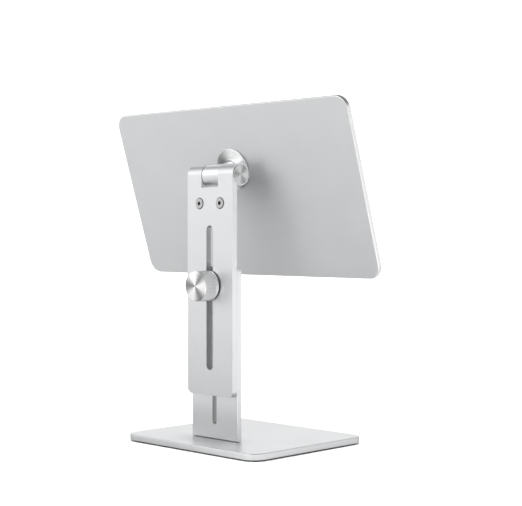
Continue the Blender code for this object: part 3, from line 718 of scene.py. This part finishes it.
def make_end_caps():
    plug_r = BORE_R - 0.3
    dimple_r, dimple = 0.5, 0.12
    for side_name, sign in (("left", 1), ("right", -1)):
        low, high = box_mm("end_cap_" + side_name)
        plug, face = (low.x, high.x) if sign > 0 else (high.x, low.x)
        under = sign * (UPPER_HIGH.x + 0.3)
        radius = (high.z - low.z) / 2
        profile = [(0, plug), (plug_r, plug), (plug_r, under), (radius, under), (radius, face),
                   (dimple_r, face), (0, face - sign * dimple)]
        piece = turned("barrel_cap_" + side_name, "X", eased(profile, 0.18, 3), 96, (HINGE.y, HINGE.z))
        finish = turned_metal("cap_face_" + side_name, HINGE, (0, sign, 0), (0, 0, 1), 0.76, 0.52)
        dress(piece, "end_cap_" + side_name, finish, (EDGE, lambda middle, normal: abs(normal.x) < 0.8))


# ---------------------------------------------------------------- clamp

def make_knob():
    base, end = KNOB_LOW.y, KNOB_HIGH.y
    face = end - 0.02
    bore_r, bore_end = 2.8, STUD_HIGH.y + 0.3
    knurl_low, knurl_high = base + 2.6, end - 1.0
    plain = 0.3                 # a smooth stretch at each end of the knurl
    bands = 8
    chamfer = 0.8
    dimple_r, dimple = 0.7, 0.12

    def ripple(angle, reach, depth):
        inside = reach > KNOB_R - 0.1 and knurl_low + plain < depth < knurl_high - plain
        if not inside:
            return reach
        phase = (angle * KNURLS / (2 * math.pi)) % 1.0
        return reach - KNURL_DEPTH * (1 - abs(2 * phase - 1)) ** 2

    knurl_length = knurl_high - knurl_low - 1.0
    profile = [(0, bore_end), (bore_r, bore_end), (bore_r, base), (KNOB_R - 0.3, base),
               (KNOB_R, base + 0.3), (KNOB_R, knurl_low), (KNOB_R, knurl_low + 0.31)]
    profile += [(KNOB_R, knurl_low + 0.5 + knurl_length * i / bands) for i in range(bands + 1)]
    profile += [(KNOB_R, knurl_high - 0.31), (KNOB_R, knurl_high), (KNOB_R, end - chamfer),
                (KNOB_R - 0.15, end - 0.45), (KNOB_R - chamfer, face), (dimple_r, face),
                (0, face - dimple)]
    piece = turned("thumb_knob", "Y", profile, KNURLS * 8, (0, STUD.z), ripple=ripple)
    middle = Vector((0, end, STUD.z))
    finish = turned_metal("knob_face", middle, (-1, 0, 0), (0, 0, 1), 1.0, 0.29, skew=0.45)
    dress(piece, "clamp_knob", finish, (KNURL, lambda middle, normal: normal.y < 0.5))


def make_knob_washer():
    hole_r, radius = 2.8, 11.2
    low, high = WASHER_LOW.y, WASHER_HIGH.y
    profile = [(hole_r, low), (radius, low), (radius, high), (hole_r, high)]
    piece = turned("slip_washer", "Y", eased(profile, 0.15, 3, True), 72, (0, STUD.z))
    dress(piece, "knob_washer", NYLON)


def make_clamp_screw():
    low, high = STUD_LOW.y, STUD_HIGH.y
    end_r = THREAD_R - 0.6

    def thread(angle, reach, along):
        if reach < THREAD_R - 0.01 or along < low + 0.6 or along > high - 0.4:
            return reach
        phase = ((along - low) / THREAD_PITCH - angle / (2 * math.pi)) % 1.0
        return reach - THREAD_DEPTH * abs(2 * phase - 1)

    steps = int((high - low) / THREAD_PITCH * 6)
    profile = [(0, low), (end_r, low), (THREAD_R - THREAD_DEPTH, low + 0.45)]
    profile += [(THREAD_R, low + 0.5 + (high - low - 0.6) * i / steps) for i in range(steps + 1)]
    profile += [(end_r, high), (0, high)]
    piece = turned("clamp_thread", "Y", profile, 28, (0, STUD.z), ripple=thread)
    dress(piece, "clamp_screw", STEEL)


def make_insert():
    bore_r, body_r, flange_r = 2.8, 3.5, 5.5
    low, high = box_mm("thread_insert")
    flange = low.y + 1.5
    profile = [(bore_r, low.y), (flange_r - 0.3, low.y), (flange_r, low.y + 0.3), (flange_r, flange),
               (body_r, flange), (body_r, high.y), (bore_r, high.y)]
    piece = turned("press_insert", "Y", eased(profile, 0.15, 3, True), 56, (0, STUD.z))
    dress(piece, "thread_insert", STEEL)


def make_guide():
    hole_r, washer_r = 2.4, 4.6
    low, high = box_mm("guide_washer")
    profile = [(hole_r, low.y), (washer_r, low.y), (washer_r, high.y), (hole_r, high.y)]
    piece = turned("guide_ring", "Y", eased(profile, 0.12, 3, True), 48, (0, GUIDE.z))
    dress(piece, "guide_washer", NYLON)

    head_r, shoulder_r, thread_r = 4.2, 2.05, 1.7
    low, high = GUIDE_LOW.y, GUIDE_HIGH.y
    seat = low + 1.9
    profile = [(0, low), (head_r - 0.3, low), (head_r, low + 0.3), (head_r, seat), (shoulder_r, seat),
               (shoulder_r, UPPER_FRONT - 0.3), (thread_r, UPPER_FRONT), (thread_r, high), (0, high)]
    piece = turned("shoulder_screw", "Y", eased(profile, 0.18, 3), 48, (0, GUIDE.z))
    hex_hole(piece, "Y", HEX_ACROSS, low - 1, low + 1.2, (0, GUIDE.z))
    dress(piece, "guide_screw", STEEL)


# ---------------------------------------------------------------- knuckle, disc and panel

def make_knuckle():
    profile = [(0, -KNUCKLE_HALF), (KNUCKLE_R, -KNUCKLE_HALF), (KNUCKLE_R, KNUCKLE_HALF), (0, KNUCKLE_HALF)]
    piece = turned("knuckle", "X", eased(profile, 0.35), 120, matrix=HEAD)
    neck_start, bolt_start = -5.0, -5.6     # inside the knuckle
    neck = [(0, neck_start), (NECK_R, neck_start), (NECK_R, NECK_END), (0, NECK_END)]
    tool = turned("neck", "Y", eased(neck, 0.3, 3), 96, matrix=HEAD)
    combine(piece, tool, "UNION")
    through = KNUCKLE_HALF + 2.8
    cut(piece, prism("shaft_hole", "X", circle(SHAFT_HOLE_R, 48), -through, through, HEAD),
        prism("bolt_hole", "Y", circle(BOLT_HOLE_R, 48), NECK_END - 2, bolt_start, HEAD))
    dress(piece, "tilt_knuckle", KNUCKLE_METAL)


def disc_screw_places():
    """Three places on a ring, in the head's axes."""
    return [(DISC_SCREW_RING * math.cos(a), DISC_SCREW_RING * math.sin(a))
            for a in (math.radians(90 + 120 * i) for i in range(3))]


def make_disc():
    front = PANEL_REAR + 0.3
    bed = NECK_END - 0.3
    well_r, well_floor = 7.1, bed - 0.8     # where the swivel washer lies
    collar_r = 8.8
    profile = [(BOLT_HOLE_R, front), (DISC_R - 0.25, front), (DISC_R, front + 0.25), (DISC_R, front + 0.95),
               (DISC_R - 0.35, front + 1.3), (collar_r, bed - 0.15), (collar_r - 0.2, bed), (well_r, bed),
               (well_r, well_floor), (BOLT_HOLE_R, well_floor)]
    piece = turned("turntable", "Y", eased(profile, 0.15, 3, True), 128, matrix=HEAD)
    for centre in disc_screw_places():
        cut(piece, prism("thread_hole", "Y", circle(DISC_THREAD_R, 24, centre), front - 1, PANEL_REAR + 1.3,
                         HEAD))

    def on_rim(middle, normal):
        return (HEAD.inverted() @ middle).xz.length > DISC_R - 0.3

    # Painted highlight and painted shade: the disc's fans are painted into its colour.
    slant = math.radians(63)    # the disc's two fans lie to the upper right and lower left
    upward = ACROSS.cross(SWIVEL)
    u_axis = math.sin(slant) * upward - math.cos(slant) * ACROSS
    v_axis = math.cos(slant) * upward + math.sin(slant) * ACROSS
    finish = turned_metal("disc_face", HINGE, u_axis, v_axis, 1.0, 0.30, fans=2, line_share=0.3)
    dress(piece, "swivel_disc", finish, (KNUCKLE_METAL, on_rim))


def panel_outline(inset):
    """The panel's outline in the head's axes, drawn in by inset."""
    half_w, half_h = PANEL_W / 2 - inset, PANEL_H / 2 - inset
    return rounded_rect((-half_w, PANEL_MID_Z - half_h), (half_w, PANEL_MID_Z + half_h),
                        (PANEL_R - inset,) * 4, 20)


def sheet_outline(inset):
    """The front sheet's outline: the panel's recess, less a gap."""
    return panel_outline(SHEET_INSET + SHEET_GAP + inset)


def make_panel():
    shell = plate("back_panel", "Y", [panel_outline], PANEL_FRONT, PANEL_REAR, [PANEL_EDGE], HEAD, 4)
    outside = PANEL_FRONT - 2
    cut(shell, prism("recess", "Y", panel_outline(SHEET_INSET), outside, SHEET_FLOOR, HEAD))
    for sign in (-1, 1):
        near, far = sorted((sign * POCKET_X[0], sign * POCKET_X[1]))
        pocket = rounded_rect((near, PANEL_MID_Z - POCKET_HALF), (far, PANEL_MID_Z + POCKET_HALF),
                              (POCKET_R,) * 4)
        cut(shell, prism("pocket", "Y", pocket, outside, POCKET_FLOOR, HEAD))
    bolt_seat_r, bolt_seat = 9.0, PANEL_REAR - 1.0
    beyond = PANEL_REAR + 1
    cut(shell, prism("bolt_seat", "Y", circle(bolt_seat_r, 64), outside, bolt_seat, HEAD),
        prism("bolt_hole", "Y", circle(BOLT_HOLE_R, 48), outside, beyond, HEAD))
    head_r, shank_r = 2.7, 1.5
    hole = [(0, outside), (head_r, outside), (head_r, SHEET_FLOOR + 0.5), (shank_r, SHEET_FLOOR + 1.6),
            (shank_r, beyond), (0, beyond)]
    for centre in disc_screw_places():
        cut(shell, turned("screw_hole", "Y", hole, 32, centre, HEAD))
    dress(shell, "panel_shell", PANEL_METAL, (EDGE, lambda middle, normal: abs(normal.dot(SWIVEL)) < 0.93))


def make_front_sheet():
    piece = plate("silicone_face", "Y", [sheet_outline], *SHEET_Y, [SHEET_EDGE], HEAD)
    dress(piece, "front_sheet", SHEET)


# ---------------------------------------------------------------- the pieces that keep their CAD shape

def dress_cad_nodes():
    finishes = {"steel": STEEL, "nylon": NYLON, "magnet": MAGNET, "satin_aluminium": SATIN, "silicone": PAD,
                "soft_sheet": SHEET, "turned_aluminium": EDGE}
    for name, node in frame["nodes"].items():
        if not node.hide_render:
            node.data.materials.clear()
            node.data.materials.append(finishes[SLOT_OF[name]])


# ---------------------------------------------------------------- studio

# The studio's brightness by height of direction, from -1 straight down to 1 straight up
STUDIO_HEIGHTS = [(-1.0, 0.69), (0.0, 0.64), (0.25, 0.55), (0.4, 0.46), (0.6, 0.31), (0.7, 0.25),
                  (1.0, 0.20)]
# Distant glows, as (direction, gain, tightness)
GLOWS = [((0.70, 0.58, 0.42), 0.80, 12.0), ((0.66, -0.72, 0.08), 1.04, 8.0),
         ((0.15, 0.85, 0.50), 1.4, 10.0)]
# Soft boxes near the stand: name, place, size and brightness
SOFT_BOXES = [("left_box", (0.75, 0.62, 0.42), (0.9, 0.75), 0.15),
              ("right_box", (-0.85, -0.45, 0.35), (0.8, 0.7), 0.4)]
AIM = Vector((0, 0.02, 0.16))   # what the soft boxes face
# A broad overhead sun, which the metal doesn't reflect: its strength, and its spread in degrees
SUN_STRENGTH, SUN_SPREAD = 4.6, 70
# The floor that the camera sees
FLOOR_TONE, FLOOR_ROUGHNESS, FLOOR_HALF = 0.93, 0.9, 20
# The floor that the metal reflects lies a little lower. It is grey, with painted shade darker near the
# stand and one painted lit patch to the camera's right. The drop is in millimetres, and reaches are in
# metres from each middle.
REFLECTED_DROP = 0.5
NEAR_TONE, FAR_TONE, PATCH_TONE = 0.24, 0.40, 0.70
FLOOR_MIDDLE, NEAR_REACH, FAR_REACH = (0.00, 0.10, 0), 0.10, 0.45
PATCH_MIDDLE, PATCH_REACH = (-0.38, 0.25, 0), (0.18, 0.50)


def soft_box(name, place, size, brightness):
    """A rectangular lamp that faces the stand and stays out of the picture."""
    data = bpy.data.lights.new(name, "AREA")
    data.shape = "RECTANGLE"
    data.size, data.size_y = size
    data.energy = brightness * math.pi * size[0] * size[1]
    lamp = bpy.data.objects.new(name, data)
    lamp.location = place
    lamp.rotation_euler = (AIM - Vector(place)).to_track_quat("-Z", "Y").to_euler()
    lamp.visible_camera = False
    bpy.context.scene.collection.objects.link(lamp)


def make_floor(name, height):
    """A large plain floor at a height in millimetres, and its material."""
    built = bmesh.new()
    bmesh.ops.create_grid(built, x_segments=1, y_segments=1, size=FLOOR_HALF,
                          matrix=Matrix.Translation((0, 0, height * MM)))
    mesh = bpy.data.meshes.new(name)
    built.to_mesh(mesh)
    built.free()
    floor = bpy.data.objects.new(name, mesh)
    bpy.context.scene.collection.objects.link(floor)
    n = Nodes(name)
    n.set(Base_Color=grey(FLOOR_TONE), Roughness=FLOOR_ROUGHNESS)
    n.shader.inputs["Specular IOR Level"].default_value = 0.0
    mesh.materials.append(n.material)
    return floor, n


def make_floors():
    floor, _ = make_floor("floor", 0.0)
    floor.visible_glossy = floor.visible_diffuse = floor.visible_shadow = False
    floor, n = make_floor("floor_in_reflections", -REFLECTED_DROP)
    floor.visible_camera = False
    # Painted shade darkens this floor towards the stand, and a painted lit patch lightens it to the
    # camera's right.
    reach = n.vector("LENGTH", n.vector("SUBTRACT", n.place, FLOOR_MIDDLE))
    tone = n.ramp(reach, [(NEAR_REACH, grey(NEAR_TONE)), (FAR_REACH, grey(FAR_TONE))])
    off_patch = n.vector("LENGTH", n.vector("SUBTRACT", n.place, PATCH_MIDDLE))
    painted_patch_light = n.ramp(off_patch, [(PATCH_REACH[0], grey(1.0)), (PATCH_REACH[1], grey(0.0))])
    n.set(Base_Color=n.mix(painted_patch_light, tone, grey(PATCH_TONE)))


def make_sky():
    """The studio that the metal reflects. The camera itself sees white."""
    sky = Nodes("studio", bpy.data.worlds, "Background")
    direction = sky.add("ShaderNodeTexCoord").outputs["Generated"]
    height = sky.add("ShaderNodeSeparateXYZ")
    sky.feed(height.inputs[0], direction)
    share = sky.math("MULTIPLY_ADD", height.outputs["Z"], 0.5, 0.5)
    light = sky.ramp(share, [(z / 2 + 0.5, grey(value / 2)) for z, value in STUDIO_HEIGHTS], "B_SPLINE")
    light = sky.math("MULTIPLY", light, 2.0)
    for place, gain, tightness in GLOWS:
        towards = sky.vector("DOT_PRODUCT", direction, tuple(Vector(place).normalized()))
        lobe = sky.math("POWER", sky.math("MAXIMUM", towards, 0.0), tightness)
        light = sky.math("ADD", light, sky.math("MULTIPLY", lobe, gain))
    seen = sky.add("ShaderNodeLightPath").outputs["Is Camera Ray"]
    sky.feed(sky.shader.inputs["Color"], (1, 1, 1, 1))
    sky.feed(sky.shader.inputs["Strength"], sky.math("MAXIMUM", light, seen))
    bpy.context.scene.world = sky.material


def make_lamps():
    for settings in SOFT_BOXES:
        soft_box(*settings)
    data = bpy.data.lights.new("floor_light", "SUN")
    data.energy = SUN_STRENGTH
    data.angle = math.radians(SUN_SPREAD)
    lamp = bpy.data.objects.new("floor_light", data)
    lamp.visible_glossy = False
    bpy.context.scene.collection.objects.link(lamp)


# The camera, solved from the straight edges in the photo: its place in metres and its angles in degrees
CAMERA_PLACE = Vector((-0.74117, 0.73207, 0.17028))
CAMERA_YAW, CAMERA_PITCH = math.radians(44.60), math.radians(0.957)
CAMERA_LENS, CAMERA_SENSOR = 88.98, 36


def make_camera():
    data = bpy.data.cameras.new("camera")
    data.lens = CAMERA_LENS
    data.sensor_width = CAMERA_SENSOR
    camera = bpy.data.objects.new("camera", data)
    camera.location = CAMERA_PLACE
    camera.rotation_euler = (math.pi / 2 - CAMERA_PITCH, 0, math.pi + CAMERA_YAW)
    bpy.context.scene.collection.objects.link(camera)
    bpy.context.scene.camera = camera


make_base()
make_lower_plate()
make_upper_plate()
make_hinge_screws()
make_end_caps()
make_knob()
make_knob_washer()
make_clamp_screw()
make_insert()
make_guide()
make_knuckle()
make_disc()
make_panel()
make_front_sheet()
dress_cad_nodes()
bpy.context.scene.view_settings.view_transform = "Standard"
make_floors()
make_sky()
make_lamps()
make_camera()
